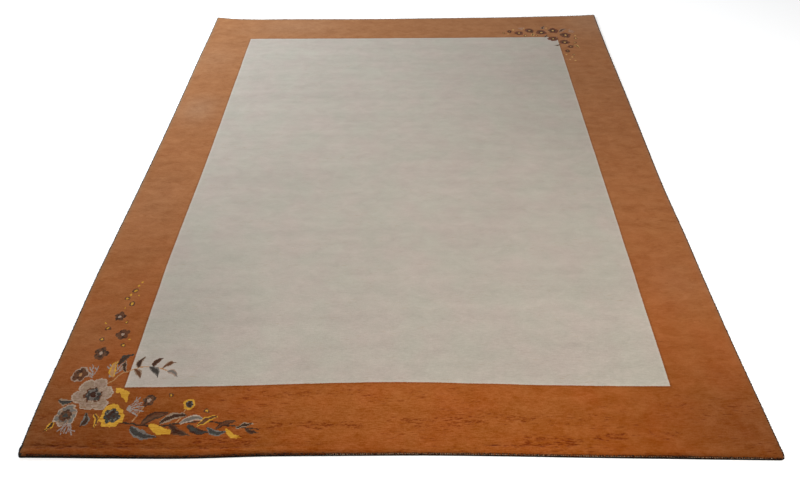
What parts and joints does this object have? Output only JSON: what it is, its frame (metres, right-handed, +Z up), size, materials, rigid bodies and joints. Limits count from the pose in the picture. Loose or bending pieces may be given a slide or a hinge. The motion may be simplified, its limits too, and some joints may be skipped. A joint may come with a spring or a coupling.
{
  "type": "tibetan rug",
  "caption": "Large low-cut hand-knotted wool rug with a brown border and a pale grey field, overcast side cords and taped ends, lying flat.",
  "frame": {"origin": "on the floor under the middle of the rug", "axes": "+X across the rug, +Y along its length away from the end with the larger corner motif, +Z up out of the pile"},
  "size_m": [2.4524, 3.0479, 0.0149],
  "materials": {
    "pile": "low-cut wool pile, matt with a soft nap sheen, brown border and pale grey field",
    "cord_yarn": "dark grey wool yarn, overcast",
    "tape_cloth": "near-black cotton twill tape, with pale stitches"
  },
  "bodies": {
    "root": {"carpet": "pile", "selvage_left": "cord_yarn", "selvage_right": "cord_yarn", "end_tape_front": "tape_cloth", "end_tape_back": "tape_cloth"}
  },
  "joints": []
}
